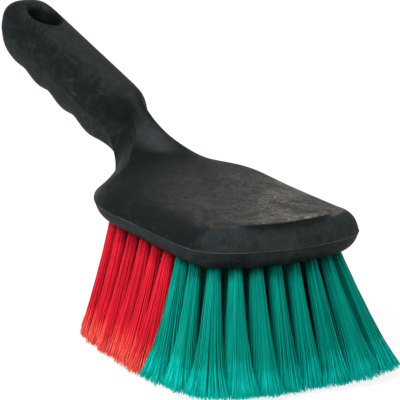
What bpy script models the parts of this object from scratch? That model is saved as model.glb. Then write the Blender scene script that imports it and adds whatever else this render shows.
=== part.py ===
"""Short-handled washing brush with long two-coloured bristles.

One moulded piece makes the head, the neck and the grip. Round tufts of long bristles stand in
blind holes all round the underside of the head, and closer rows of tufts fill the middle. The
tufts lean outwards, so the tips spread wider than the head. The tufts at the handle's end are
red and the others green. The grip has finger waves underneath and a hole to hang the brush by.

The brush stands on its bristles. X runs from the grip to the front of the head, Z is up, and the
origin is the tip of the bristle in the middle. Lengths are in metres.
"""
import math

import bmesh
import bpy
from mathutils import Matrix, Vector

MM = 0.001

# Lengths of the whole brush
HEAD_LENGTH = 140.0 * MM
NECK_LENGTH = 24.0 * MM
NECK_UNDERCUT = 6.0 * MM
NECK_FULLNESS_SHARE = 0.32
GRIP_LENGTH = 101.2 * MM
HEAD_FRONT = 63.8 * MM
BRISTLE_LENGTH = 60.0 * MM

# The head
HEAD_HALF_WIDTH = 51.0 * MM
HEAD_HEIGHT = 21.6 * MM
PARTING_HEIGHT = 9.4 * MM
FACE_INSET = 7.0 * MM
TOP_INSET = 11.6 * MM
HEAD_REAR_RISE = 2.0 * MM
HEAD_CROWN_RUN = 25.0 * MM

# The grip
GRIP_HALF_WIDTH = 15.0 * MM
GRIP_DEPTH = 33.4 * MM
GRIP_LIFT = 20.7 * MM
GRIP_RISE_ANGLE = math.radians(15.6)
GRIP_END_LENGTH = 15.0 * MM
GRIP_END_DROOP = 3.0 * MM
FINGER_WAVE_HEIGHT = 1.4 * MM
FINGER_WAVE_PITCH = 25.5 * MM
FIRST_FINGER_WAVE = 11.3 * MM

# The hole to hang the brush by
HANG_HOLE_FROM_END = 23.5 * MM
HANG_HOLE_RADIUS = 5.2 * MM
HANG_HOLE_MOUTH_RADIUS = 8.4 * MM
HANG_HOLE_STRETCH = 1.45

# Tufts in their own holes round the edge of the head
EDGE_TUFT_COUNT = 32
TUFT_RADIUS = 3.0 * MM
TUFT_DEPTH = 9.0 * MM
TUFT_PROUD = 1.0 * MM
TUFT_TIP_RADIUS = 5.8 * MM
FIT_GAP = 0.3 * MM

# Rows of tufts in the middle of the head
ROW_PITCH = 10.4 * MM
ROW_BACKING_HALF_WIDTH = 3.0 * MM
ROW_BACKING_THICKNESS = 3.0 * MM
ROW_TUFT_RADIUS = 2.7 * MM
ROW_TUFT_TIP_RADIUS = 5.6 * MM
LEAST_TUFT_DISTANCE = 9.0 * MM

# Bristles
STRAND_RADIUS = 0.9 * MM
STRAND_TIP_RADIUS = 1.7 * MM
STRAND_SIDES = 3
EDGE_STRANDS = 5
ROW_STRANDS = 4
STRAND_ROOT = 0.7 * MM
TIP_RISE_SHARE = 0.60
FLARE_AHEAD_SHARE = 0.40
FLARE_BEHIND_SHARE = 0.13
FLARE_SIDE_SHARE = 0.30
REAR_FLARE_SIDE_SHARE = 0.14
CORNER_FLARE_SHARE = 0.78
BEND_SHARE = 0.09
RED_BEHIND = 17.7 * MM

# Shared by all cuts
OVERRUN = 4.0 * MM
WELD_DISTANCE = 0.001 * MM

# Outline of the head, from its front edge back along one side: how far back as a share of the
# head's length, and how far out as a share of its half width
HEAD_OUTLINE_SHARES = (
    (0.000, 0.000), (0.006, 0.238), (0.018, 0.455), (0.034, 0.624), (0.054, 0.756),
    (0.079, 0.865), (0.109, 0.935), (0.156, 0.982), (0.227, 0.996), (0.370, 1.000),
    (0.527, 1.000), (0.649, 0.996), (0.720, 0.970), (0.791, 0.897), (0.881, 0.733),
    (0.950, 0.545), (1.000, 0.310))

# Outline of the neck, on from the head: how far back as a share of the neck's length, and how
# far out as a share of the way from the grip's half width to the head's
NECK_OUTLINE_SHARES = (
    (0.117, -0.060), (0.242, -0.105), (0.39, -0.100), (0.554, -0.065), (0.742, -0.035),
    (0.91, -0.015))

# Top of the neck: how far along it is from the head's flat top to the grip, and how high it is
# on the way from the head's top to the grip's
CROWN_SHARES = (
    (0.00, 0.000), (0.19, 0.036), (0.31, 0.072), (0.42, 0.125), (0.54, 0.235),
    (0.65, 0.465), (0.77, 0.715), (0.86, 0.870), (0.94, 0.965), (1.00, 1.000))
CROWN_START_SHARE = 0.55

# Stretches along which the neck's other lines climb from the head to the grip, as shares of the
# neck's length behind the head's end
PARTING_CLIMB_SHARES = (-0.10, 0.70)
FACE_CLIMB_SHARES = (-0.26, 0.50)
SHOULDER_CLIMB_SHARES = (-0.90, 0.85)
SECTION_CLIMB_SHARES = (-0.40, 0.62)

# Stretches along which the neck is undercut below and fuller above, in the same shares
UNDERCUT_SHARES = (-0.35, 1.05)
FULLNESS_SHARES = (-0.75, 0.95)

# How much rounder the head's lower edge is at the rear than in front, and its upper edge at the
# sides than in front
REAR_INSET_GROWTH_SHARE = 0.35
SIDE_INSET_GROWTH_SHARE = 0.60

# Stretches along which the lower edge gets rounder, the wall goes over to an even slope and the
# head's top rises, as shares of the head's length behind its front
REAR_INSET_SHARES = (0.05, 0.60)
REAR_SLOPE_SHARES = (0.80, 0.97)
REAR_RISE_SHARES = (0.45, 0.80)

# The neck's ridge on the head's top, from its full height out to nothing, as shares of the
# grip's half width
RIDGE_SHARES = (0.30, 2.40)

# Upright section of the head from its face round to its top: how far in from the parting line as
# a share of the inset, and how high as a share of the height below or above the parting line
HEAD_LOWER_SHARES = ((1.00, -1.00), (0.76, -0.95), (0.27, -0.58), (0.00, 0.00))
HEAD_UPPER_SHARES = ((0.08, 0.27), (0.21, 0.54), (0.42, 0.75), (0.70, 0.89), (1.00, 0.94))

# The grip's section is a rounded square: the angles at which its points are taken
GRIP_LOWER_ANGLES = tuple(math.radians(a) for a in (-76, -58, -32, 0))
GRIP_UPPER_ANGLES = tuple(math.radians(a) for a in (20, 38, 54, 66, 77))
GRIP_SQUARENESS = 2.8
END_SQUARENESS = 2.7

# The top between the last of those points and the middle, as shares of that point's distance out
TOP_SHARES = (0.75, 0.5, 0.25, 0.0)

# Line of the edge tufts, given in the same way as the head's outline
TUFT_LINE_SHARES = (
    (0.077, 0.000), (0.081, 0.238), (0.092, 0.455), (0.112, 0.610), (0.140, 0.715),
    (0.190, 0.775), (0.270, 0.790), (0.400, 0.790), (0.530, 0.790), (0.641, 0.778),
    (0.727, 0.730), (0.800, 0.610), (0.868, 0.420), (0.905, 0.200), (0.914, 0.000))

# How finely the curves are divided
OUTLINE_STEPS = 2
WAVE_STEPS = 5
END_STEPS = 6
LINE_STEPS = 24
HOLE_SIDES = 8
HANG_HOLE_SIDES = 32

# Places that follow from the sizes
FACE_Z = BRISTLE_LENGTH
HEAD_REAR = HEAD_FRONT - HEAD_LENGTH
GRIP_START = HEAD_REAR - NECK_LENGTH
GRIP_END = GRIP_START - GRIP_LENGTH
CROWN_START = HEAD_FRONT - CROWN_START_SHARE * HEAD_LENGTH
GRIP_SLOPE = math.tan(GRIP_RISE_ANGLE)

COLOURS = {
    "black": ((0.022, 0.024, 0.025, 1.0), 0.45),
    "red": ((0.62, 0.012, 0.035, 1.0), 0.35),
    "green": ((0.0, 0.30, 0.235, 1.0), 0.35),
}


def clear_scene():
    """Removes every object, so that the script gives the same result each run."""
    for obj in list(bpy.data.objects):
        bpy.data.objects.remove(obj, do_unlink=True)


def new_collection(name):
    collection = bpy.data.collections.get(name) or bpy.data.collections.new(name)
    if collection.name not in bpy.context.scene.collection.children:
        bpy.context.scene.collection.children.link(collection)
    return collection


def new_object(name, bm, collection, colour=None):
    """Makes an object from a bmesh, with smooth faces and its own material."""
    mesh = bpy.data.meshes.new(name)
    bm.to_mesh(mesh)
    bm.free()
    obj = bpy.data.objects.new(name, mesh)
    collection.objects.link(obj)
    if colour:
        base, roughness = COLOURS[colour]
        material = bpy.data.materials.new(name)
        material.use_nodes = True
        shader = material.node_tree.nodes["Principled BSDF"]
        shader.inputs["Base Color"].default_value = base
        shader.inputs["Roughness"].default_value = roughness
        mesh.materials.append(material)
    return obj


def as_cutter(obj):
    obj.hide_render = True
    obj.display_type = "WIRE"
    return obj


def subtract(target, cutter):
    modifier = target.modifiers.new(cutter.name, "BOOLEAN")
    modifier.operation = "DIFFERENCE"
    modifier.object = cutter


def smooth_step(value, start, end):
    """Climbs from 0 at start to 1 at end, level at both."""
    share = min(max((value - start) / (end - start), 0.0), 1.0)
    return share * share * (3.0 - 2.0 * share)


def mix(first, second, share):
    return first + (second - first) * share


def curve_through(points, steps):
    """Points along a smooth curve through the given ones, each stretch divided into steps."""
    count = len(points)
    curve = []
    for i in range(count - 1):
        before = points[max(i - 1, 0)]
        start, end = points[i], points[i + 1]
        after = points[min(i + 2, count - 1)]
        for k in range(steps):
            t = k / steps
            curve.append(tuple(
                0.5 * (2 * b + (c - a) * t + (2 * a - 5 * b + 4 * c - d) * t ** 2
                       + (3 * b - a - 3 * c + d) * t ** 3)
                for a, b, c, d in zip(before, start, end, after)))
    curve.append(tuple(points[-1]))
    return curve


def grip_line(x, height):
    """Height on a line that rises along the grip from the given height at its start."""
    return height + (GRIP_START - x) * GRIP_SLOPE


def head_top(x):
    """Height of the head's top, which rises a little towards the neck."""
    return HEAD_HEIGHT + HEAD_REAR_RISE * behind_front(x, REAR_RISE_SHARES)


def grip_end_droop(x):
    """How far the grip's top and underside close in on each other towards its end."""
    return GRIP_END_DROOP * (1 - smooth_step(x, GRIP_END, GRIP_END + 1.3 * GRIP_END_LENGTH))


def behind_front(x, shares):
    """How far x is along a stretch given as shares of the head's length behind its front."""
    return smooth_step(-x, *(HEAD_LENGTH * share - HEAD_FRONT for share in shares))


def crown_height(x):
    """Height of the middle of the top above the face, from the grip's end to the head's front."""
    if x <= GRIP_START:
        return grip_line(x, GRIP_LIFT + GRIP_DEPTH) - grip_end_droop(x)
    along = (x - CROWN_START) / (GRIP_START - CROWN_START)
    if along <= 0:
        return head_top(x)
    for (low, low_share), (high, high_share) in zip(CROWN_SHARES, CROWN_SHARES[1:]):
        if along <= high:
            share = mix(low_share, high_share, (along - low) / (high - low))
            return mix(head_top(x), GRIP_LIFT + GRIP_DEPTH, share)


def shoulder_height(x):
    """Height of the head's top beside the neck's ridge, and of the whole grip's top."""
    return mix(head_top(x), crown_height(x), neck_climb(x, SHOULDER_CLIMB_SHARES))


def ridge_height(place):
    """How far the neck's ridge stands above the head's top at a place in plan."""
    inner, outer = (GRIP_HALF_WIDTH * share for share in RIDGE_SHARES)
    ridge = 1.0 - smooth_step(abs(place.y), inner, outer)
    return ridge * (crown_height(place.x) - shoulder_height(place.x))


def neck_climb(x, shares):
    """How far a line has climbed from the head, 0, to the grip, 1."""
    return smooth_step(-x, *(NECK_LENGTH * share - HEAD_REAR for share in shares))


def parting_height(x):
    middle = grip_line(x, GRIP_LIFT + GRIP_DEPTH / 2)
    return mix(PARTING_HEIGHT, middle, neck_climb(x, PARTING_CLIMB_SHARES))


def underside_height(x):
    """Height of the underside: flat under the head, with finger waves under the grip."""
    wave = math.cos((GRIP_START - FIRST_FINGER_WAVE - x) / FINGER_WAVE_PITCH * math.tau)
    wave *= smooth_step(x, GRIP_END + GRIP_END_LENGTH, GRIP_END + 2 * GRIP_END_LENGTH)
    grip = grip_line(x, GRIP_LIFT) - FINGER_WAVE_HEIGHT * wave + 0.5 * grip_end_droop(x)
    return mix(0.0, grip, neck_climb(x, FACE_CLIMB_SHARES))


def block_stations():
    """Points along the parting line on one side, from the grip's end to the head's front, each
    with its outward direction in plan. A point in the grip's round end has no direction."""
    stations = []
    for i in range(END_STEPS):
        angle = i / END_STEPS * math.pi / 2
        stations.append((angle, None))
    start = GRIP_END + GRIP_END_LENGTH
    count = max(round((GRIP_START - start) / FINGER_WAVE_PITCH * WAVE_STEPS), 2)
    line = [(mix(start, GRIP_START, i / count), GRIP_HALF_WIDTH) for i in range(count)]
    table = [(HEAD_FRONT - back * HEAD_LENGTH, out * HEAD_HALF_WIDTH)
             for back, out in HEAD_OUTLINE_SHARES]
    table += [(HEAD_REAR - back * NECK_LENGTH, mix(GRIP_HALF_WIDTH, HEAD_HALF_WIDTH, out))
              for back, out in NECK_OUTLINE_SHARES]
    table.append((GRIP_START, GRIP_HALF_WIDTH))
    line += curve_through(table[::-1], OUTLINE_STEPS)
    for i, point in enumerate(line):
        before, after = line[max(i - 1, 0)], line[min(i + 1, len(line) - 1)]
        along = Vector((after[0] - before[0], after[1] - before[1])).normalized()
        outward = Vector((-along.y, along.x))
        if i == 0:
            outward = Vector((0.0, 1.0))
        if i == len(line) - 1:
            outward = Vector((1.0, 0.0))
        stations.append((Vector(point), outward))
    return stations


def inset_point(station, inset):
    """A station's point moved in from the parting line."""
    place, outward = station
    if outward is None:
        power = 2 / END_SQUARENESS
        reach = (GRIP_END_LENGTH - inset) * math.cos(place) ** power
        width = (GRIP_HALF_WIDTH - inset) * math.sin(place) ** power
        return Vector((GRIP_END + GRIP_END_LENGTH - reach, width))
    return place - outward * inset


def section_points(station):
    """One half of the block's section at a station, from the middle of its underside, round the
    parting line, to the middle of its top."""
    x, y = inset_point(station, 0.0)
    narrow = y / GRIP_HALF_WIDTH if GRIP_START < x < HEAD_REAR else 1.0
    head = 1.0 - neck_climb(x, SECTION_CLIMB_SHARES)
    parting = parting_height(x)
    power = 2 / GRIP_SQUARENESS
    waist = neck_climb(x, UNDERCUT_SHARES)
    undercut = NECK_UNDERCUT * 4 * waist * (1 - waist)
    even = behind_front(x, REAR_SLOPE_SHARES)
    face_inset = FACE_INSET * (1 + REAR_INSET_GROWTH_SHARE * behind_front(x, REAR_INSET_SHARES))
    sideways = 1 - max(station[1].x, 0.0) if station[1] else 1.0
    top_inset = TOP_INSET * (1 + SIDE_INSET_GROWTH_SHARE * sideways ** 2)
    swell = neck_climb(x, FULLNESS_SHARES)
    fullness = NECK_FULLNESS_SHARE * 4 * swell * (1 - swell)
    points = [Vector((0.0, 0.0, underside_height(x)))]
    insets = [face_inset] * len(HEAD_LOWER_SHARES) + [top_inset] * len(HEAD_UPPER_SHARES)
    shares = HEAD_LOWER_SHARES + HEAD_UPPER_SHARES
    for (inward, upward), inset, angle in zip(shares, insets, GRIP_LOWER_ANGLES + GRIP_UPPER_ANGLES):
        grip_inward = GRIP_HALF_WIDTH * (1 - math.cos(angle) ** power)
        grip_upward = math.copysign(abs(math.sin(angle)) ** power, angle)
        grip_inward += undercut * max(-grip_upward, 0.0)
        inward = mix(inward, max(upward, 0.0) / HEAD_UPPER_SHARES[-1][1], even * (upward > 0))
        climb = mix(grip_upward, upward, head)
        amount = narrow * mix(grip_inward, inward * inset, head)
        place = inset_point(station, amount * (1 - fullness * max(climb, 0.0) ** 2))
        if climb > 0:
            height = parting + climb * (shoulder_height(place.x) - parting)
            height += climb * ridge_height(place)
        else:
            height = parting + climb * (parting - underside_height(x))
        points.append(Vector((place.x, place.y, height)))
    points[0].x = points[1].x
    edge = points[-1]
    shoulder = shoulder_height(edge.x)
    roundness = math.sqrt(min(edge.y / (GRIP_HALF_WIDTH / 2), 1.0))
    roundness *= smooth_step(HEAD_FRONT - TOP_INSET - edge.x, 0.0, HEAD_CROWN_RUN)
    for share in TOP_SHARES:
        place = Vector((edge.x, edge.y * share))
        level = edge.z - ridge_height(edge)
        level = mix(level, shoulder, (1 - share * share) * roundness)
        points.append(Vector((place.x, place.y, level + ridge_height(place))))
    return points


def build_block(collection, cutters):
    """The moulded head, neck and grip, with its tuft holes, row pockets and hang hole."""
    bm = bmesh.new()
    rows = []
    for station in block_stations():
        rows.append([bm.verts.new(p + Vector((0, 0, FACE_Z))) for p in section_points(station)])
    for near, far in zip(rows, rows[1:]):
        for i in range(len(near) - 1):
            bm.faces.new((near[i], near[i + 1], far[i + 1], far[i]))
    bmesh.ops.remove_doubles(bm, verts=bm.verts, dist=WELD_DISTANCE)
    bm.normal_update()
    flat = [f for f in bm.faces if all(abs(v.co.z - FACE_Z) < WELD_DISTANCE for v in f.verts)]
    bmesh.ops.dissolve_faces(bm, faces=flat, use_verts=False)
    block = new_object("handle_block", bm, collection, "black")
    mirror = block.modifiers.new("other side", "MIRROR")
    mirror.use_axis = (False, True, False)
    mirror.use_clip = True
    mirror.merge_threshold = WELD_DISTANCE
    subtract(block, hang_hole(cutters))
    subtract(block, tuft_holes(cutters))
    subtract(block, row_pockets(cutters))
    block.data.shade_smooth()
    return block


def hang_hole(cutters):
    """Waisted hole through the grip: narrow in the middle, with a rounded mouth on each face."""
    half = GRIP_DEPTH * math.cos(GRIP_RISE_ANGLE) / 2
    rim = HANG_HOLE_MOUTH_RADIUS - HANG_HOLE_RADIUS
    profile = []
    for share, out in ((0.0, 0.0), (0.35, 0.10), (0.62, 0.42), (0.82, 0.80), (0.93, 1.10),
                       (1.0, 1.50), (1.08, 2.60)):
        profile.append((HANG_HOLE_RADIUS + out * rim, share * half))
    outline = [(radius, height) for radius, height in reversed(profile)]
    outline += [(radius, -height) for radius, height in profile[1:]]
    bm = bmesh.new()
    top = half + OVERRUN
    points = [(0.0, top), (outline[0][0], top)] + outline + [(outline[-1][0], -top), (0.0, -top)]
    verts = [bm.verts.new((radius, 0.0, height)) for radius, height in points]
    for first, second in zip(verts, verts[1:]):
        bm.edges.new((first, second))
    cutter = as_cutter(new_object("hang_hole_cutter", bm, cutters))
    screw = cutter.modifiers.new("turn", "SCREW")
    screw.steps = HANG_HOLE_SIDES
    screw.render_steps = HANG_HOLE_SIDES
    screw.use_merge_vertices = True
    screw.merge_threshold = WELD_DISTANCE
    x = GRIP_END + HANG_HOLE_FROM_END
    cutter.location = (x, 0.0, FACE_Z + grip_line(x, GRIP_LIFT + GRIP_DEPTH / 2))
    cutter.rotation_euler = (0.0, GRIP_RISE_ANGLE, 0.0)
    cutter.scale = (HANG_HOLE_STRETCH, 1.0, 1.0)
    return cutter


def tuft_line():
    """Closed line of the edge tufts, as points in plan."""
    table = [(HEAD_FRONT - back * HEAD_LENGTH, out * HEAD_HALF_WIDTH)
             for back, out in TUFT_LINE_SHARES]
    side = curve_through(table, LINE_STEPS)
    return side + [(x, -y) for x, y in side[-2::-1]]


def edge_tuft_places():
    """Equal steps along the tuft line, starting half a step from the middle of the front."""
    line = [Vector(p) for p in tuft_line()]
    lengths = [0.0]
    for first, second in zip(line, line[1:]):
        lengths.append(lengths[-1] + (second - first).length)
    places = []
    for k in range(EDGE_TUFT_COUNT):
        target = (k + 0.5) / EDGE_TUFT_COUNT * lengths[-1]
        i = next(n for n in range(1, len(lengths)) if lengths[n] >= target)
        share = (target - lengths[i - 1]) / (lengths[i] - lengths[i - 1])
        places.append(line[i - 1].lerp(line[i], share))
    return places


def row_places():
    """The rows of tufts in the middle, front row first: each row's x and its tufts' y. Every
    second row is shifted by half a step."""
    edge = edge_tuft_places()
    first = math.floor(max(p.x for p in edge) / ROW_PITCH)
    last = math.ceil(min(p.x for p in edge) / ROW_PITCH)
    reach = math.ceil(HEAD_HALF_WIDTH / ROW_PITCH)
    rows = []
    for number in range(first, last - 1, -1):
        x = number * ROW_PITCH
        shift = 0.5 * ROW_PITCH if number % 2 else 0.0
        inside = max((abs(p.y) for p in edge if abs(p.x - x) < ROW_PITCH), default=0.0)
        ys = [k * ROW_PITCH + shift for k in range(-reach, reach + 1)]
        ys = [y for y in ys if abs(y) < inside
              and min((Vector((x, y)) - p).length for p in edge) > LEAST_TUFT_DISTANCE]
        if ys:
            rows.append((x, ys))
    return rows


def tip_place(root):
    """Where a bristle that leaves the face at root has its tip, in plan."""
    ahead, aside = max(root.x / HEAD_FRONT, 0.0), root.y / HEAD_HALF_WIDTH
    corner = CORNER_FLARE_SHARE * ahead ** 2 * aside ** 2
    flare = FLARE_AHEAD_SHARE if root.x > 0 else FLARE_BEHIND_SHARE
    side_flare = mix(FLARE_SIDE_SHARE, REAR_FLARE_SIDE_SHARE, min(max(-root.x / HEAD_FRONT, 0.0), 1.0))
    return Vector((root.x * (1 + flare + corner), root.y * (1 + side_flare + corner)))


def tuft_axis(root):
    """Direction of a tuft from the face to its tip, before its bend outwards."""
    lean = (tip_place(root) - root) * (1 - BEND_SHARE)
    return Vector((lean.x, lean.y, -BRISTLE_LENGTH)).normalized()


def tip_rise(root):
    """Height of a leaning tuft's tips, which are a little higher than those in the middle."""
    lean = (tip_place(root) - root).length
    return TIP_RISE_SHARE * lean ** 2 / (2 * BRISTLE_LENGTH)


def axis_matrix(start, end):
    """Placing for a cylinder along Z that is to lie between two points."""
    turn = (end - start).to_track_quat("Z", "Y").to_matrix().to_4x4()
    return Matrix.Translation((start + end) / 2) @ turn


def add_cylinder(bm, start, end, radius):
    bmesh.ops.create_cone(
        bm, cap_ends=True, segments=HOLE_SIDES, radius1=radius, radius2=radius,
        depth=(end - start).length, matrix=axis_matrix(start, end))


def tuft_holes(cutters):
    """Blind holes of the edge tufts, each on its own tuft's axis."""
    bm = bmesh.new()
    for root in edge_tuft_places():
        axis = tuft_axis(root)
        face = Vector((root.x, root.y, FACE_Z))
        add_cylinder(bm, face - axis * (TUFT_DEPTH + FIT_GAP), face + axis * OVERRUN,
                     TUFT_RADIUS + FIT_GAP)
    return as_cutter(new_object("tuft_holes_cutter", bm, cutters))


def add_box(bm, low, high):
    size = high - low
    matrix = Matrix.Translation((low + high) / 2) @ Matrix.Diagonal((*size, 1.0))
    bmesh.ops.create_cube(bm, size=1.0, matrix=matrix)


def row_backing(x, ys, margin, depth):
    """Corners of the slice of backing that carries a row, or of its pocket with a margin."""
    out = ROW_BACKING_HALF_WIDTH + margin
    low = Vector((x - out, min(ys) - out, FACE_Z - depth))
    high = Vector((x + out, max(ys) + out, FACE_Z + ROW_BACKING_THICKNESS + margin))
    return low, high


def row_pockets(cutters):
    bm = bmesh.new()
    for x, ys in row_places():
        add_box(bm, *row_backing(x, ys, FIT_GAP, OVERRUN))
    return as_cutter(new_object("row_pockets_cutter", bm, cutters))


def add_strand(bm, start, bend, end, turn):
    """One thick bristle with a triangular section, level at its tip. With no bend point it is
    straight."""
    middle = [] if bend is None else [(bend, (STRAND_RADIUS + STRAND_TIP_RADIUS) / 2)]
    rings = []
    for centre, radius in [(start, STRAND_RADIUS)] + middle + [(end, STRAND_TIP_RADIUS)]:
        ring = []
        for k in range(STRAND_SIDES):
            angle = turn + k * math.tau / STRAND_SIDES
            out = Vector((math.cos(angle), math.sin(angle), 0.0)) * radius
            ring.append(bm.verts.new(centre + out))
        rings.append(ring)
    for upper, lower in zip(rings, rings[1:]):
        for k in range(STRAND_SIDES):
            n = (k + 1) % STRAND_SIDES
            bm.faces.new((upper[k], lower[k], lower[n], upper[n]))
    bm.faces.new(rings[0])
    bm.faces.new(rings[-1][::-1])


def add_tuft_strands(bm, root, around, radius, tip_radius, proud, bent):
    """A strand in the middle of a tuft and the others in a ring about it, all spreading."""
    axis = tuft_axis(root)
    across = axis.orthogonal().normalized()
    other = axis.cross(across)
    face = Vector((root.x, root.y, FACE_Z))
    base = face + axis * (proud - STRAND_ROOT)
    tip = tip_place(root)
    start_turn = math.atan2(root.y, root.x) if root.length > WELD_DISTANCE else 0.0
    offsets = [(0.0, start_turn)]
    offsets += [(1.0, start_turn + k * math.tau / around) for k in range(around)]
    for share, angle in offsets:
        side = Vector((math.cos(angle), math.sin(angle)))
        out = side * share * (radius - STRAND_RADIUS)
        start = base + Vector((out.x, out.y, 0.0))
        start -= axis * (start - base).dot(axis)
        reach = tip + side * share * (tip_radius - STRAND_TIP_RADIUS)
        end = Vector((reach.x, reach.y, tip_rise(root) if bent else 0.0))
        bend = None
        if bent:
            bend = start.lerp(end, 0.5)
            sideways = Vector((end.x - start.x, end.y - start.y, 0.0))
            bend -= sideways * BEND_SHARE
        add_strand(bm, start, bend, end, angle)


def join_strands(body, strands):
    """Fuses a tuft's strands to the piece that they grow from."""
    modifier = body.modifiers.new("strands", "BOOLEAN")
    modifier.operation = "UNION"
    modifier.object = strands


def tuft_colour(x):
    return "red" if x < RED_BEHIND else "green"


def build_edge_tufts(collection, cutters):
    """Each edge tuft is a round root in its own hole, with its strands."""
    for number, root in enumerate(edge_tuft_places(), start=1):
        axis = tuft_axis(root)
        face = Vector((root.x, root.y, FACE_Z))
        bm = bmesh.new()
        add_cylinder(bm, face - axis * TUFT_DEPTH, face + axis * TUFT_PROUD, TUFT_RADIUS)
        colour = tuft_colour(root.x)
        tuft = new_object(f"edge_tuft_{number:02d}_{colour}", bm, collection, colour)
        bm = bmesh.new()
        add_tuft_strands(bm, root, EDGE_STRANDS, TUFT_RADIUS, TUFT_TIP_RADIUS, TUFT_PROUD, True)
        strands = as_cutter(new_object(f"edge_strands_{number:02d}", bm, cutters))
        join_strands(tuft, strands)


def build_row_tufts(collection, cutters):
    """Each row of tufts in the middle grows from one slice of backing in its own pocket."""
    for number, (x, ys) in enumerate(row_places(), start=1):
        colour = tuft_colour(x)
        bm = bmesh.new()
        add_box(bm, *row_backing(x, ys, 0.0, 0.0))
        row = new_object(f"tuft_row_{number:02d}_{colour}", bm, collection, colour)
        bm = bmesh.new()
        for y in ys:
            add_tuft_strands(bm, Vector((x, y)), ROW_STRANDS, ROW_TUFT_RADIUS,
                             ROW_TUFT_TIP_RADIUS, 0.0, False)
        strands = as_cutter(new_object(f"row_strands_{number:02d}", bm, cutters))
        join_strands(row, strands)


def main():
    clear_scene()
    parts = new_collection("washing_brush")
    cutters = new_collection("cutters")
    build_block(parts, cutters)
    build_edge_tufts(parts, cutters)
    build_row_tufts(parts, cutters)


main()
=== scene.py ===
"""Short-handled washing brush standing on its bristles, on a pale floor.

The block is lofted again here more finely than its solid, with its mould's parting line as a fine
ridge. Each tuft is a bundle of fine bristles whose ends are split and lighter.
"""
import math

import bmesh
import bpy
import numpy as np
from mathutils import Matrix, Vector


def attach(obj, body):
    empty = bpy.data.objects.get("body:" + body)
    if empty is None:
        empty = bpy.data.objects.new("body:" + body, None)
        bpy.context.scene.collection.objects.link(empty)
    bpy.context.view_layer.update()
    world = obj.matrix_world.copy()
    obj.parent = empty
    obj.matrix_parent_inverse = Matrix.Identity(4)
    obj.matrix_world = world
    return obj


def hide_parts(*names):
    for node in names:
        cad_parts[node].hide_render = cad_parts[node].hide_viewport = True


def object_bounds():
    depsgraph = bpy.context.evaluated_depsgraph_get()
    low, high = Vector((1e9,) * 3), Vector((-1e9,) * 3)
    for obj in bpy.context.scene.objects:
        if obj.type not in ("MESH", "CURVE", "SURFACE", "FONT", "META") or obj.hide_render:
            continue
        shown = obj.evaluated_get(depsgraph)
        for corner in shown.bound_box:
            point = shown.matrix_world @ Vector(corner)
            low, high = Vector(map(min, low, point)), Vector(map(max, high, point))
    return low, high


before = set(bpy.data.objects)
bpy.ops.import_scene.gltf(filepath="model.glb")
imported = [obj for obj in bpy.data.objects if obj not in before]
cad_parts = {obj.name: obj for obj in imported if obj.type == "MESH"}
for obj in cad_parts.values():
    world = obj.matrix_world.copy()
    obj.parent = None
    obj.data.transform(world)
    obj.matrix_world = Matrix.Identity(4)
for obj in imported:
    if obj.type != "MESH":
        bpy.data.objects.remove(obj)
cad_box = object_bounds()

MM = 0.001
SEED = 11

# Sizes of the brush, the same as the solids'
HEAD_LENGTH = 140.0 * MM
NECK_LENGTH = 24.0 * MM
NECK_UNDERCUT = 6.0 * MM
NECK_FULLNESS_SHARE = 0.32
GRIP_LENGTH = 101.2 * MM
HEAD_FRONT = 63.8 * MM
FACE_Z = 60.0 * MM
HEAD_HALF_WIDTH = 51.0 * MM
HEAD_HEIGHT = 21.6 * MM
PARTING_HEIGHT = 9.4 * MM
FACE_INSET = 7.0 * MM
TOP_INSET = 11.6 * MM
HEAD_REAR_RISE = 2.0 * MM
HEAD_CROWN_RUN = 25.0 * MM
GRIP_HALF_WIDTH = 15.0 * MM
GRIP_DEPTH = 33.4 * MM
GRIP_LIFT = 20.7 * MM
GRIP_RISE_ANGLE = math.radians(15.6)
GRIP_END_LENGTH = 15.0 * MM
GRIP_END_DROOP = 3.0 * MM
DROOP_RUN_SHARE = 1.3
UNDERSIDE_DROOP_SHARE = 0.5
FINGER_WAVE_HEIGHT = 1.4 * MM
FINGER_WAVE_PITCH = 25.5 * MM
FIRST_FINGER_WAVE = 11.3 * MM
HANG_HOLE_FROM_END = 23.5 * MM
HANG_HOLE_RADIUS = 5.2 * MM
HANG_HOLE_MOUTH_RADIUS = 8.4 * MM
HANG_HOLE_STRETCH = 1.45
EDGE_TUFT_COUNT = 32
TUFT_RADIUS = 3.0 * MM
ROW_PITCH = 10.4 * MM
ROW_TUFT_RADIUS = 2.7 * MM
LEAST_TUFT_DISTANCE = 9.0 * MM
FLARE_AHEAD_SHARE = 0.40
FLARE_BEHIND_SHARE = 0.13
FLARE_SIDE_SHARE = 0.30
REAR_FLARE_SIDE_SHARE = 0.14
CORNER_FLARE_SHARE = 0.78
BEND_SHARE = 0.09
TIP_RISE_SHARE = 0.60

# Outlines of the block as (back, out) and the crown over the neck as (along, up), in shares of
# its sizes. They and the tables down to the tufts' line are the same as the solids'.
HEAD_OUTLINE_SHARES = (
    (0.000, 0.000), (0.006, 0.238), (0.018, 0.455), (0.034, 0.624), (0.054, 0.756),
    (0.079, 0.865), (0.109, 0.935), (0.156, 0.982), (0.227, 0.996), (0.370, 1.000),
    (0.527, 1.000), (0.649, 0.996), (0.720, 0.970), (0.791, 0.897), (0.881, 0.733),
    (0.950, 0.545), (1.000, 0.310))
NECK_OUTLINE_SHARES = (
    (0.117, -0.060), (0.242, -0.105), (0.39, -0.100), (0.554, -0.065), (0.742, -0.035),
    (0.91, -0.015))
CROWN_SHARES = (
    (0.00, 0.000), (0.19, 0.036), (0.31, 0.072), (0.42, 0.125), (0.54, 0.235),
    (0.65, 0.465), (0.77, 0.715), (0.86, 0.870), (0.94, 0.965), (1.00, 1.000))
CROWN_START_SHARE = 0.55

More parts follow.
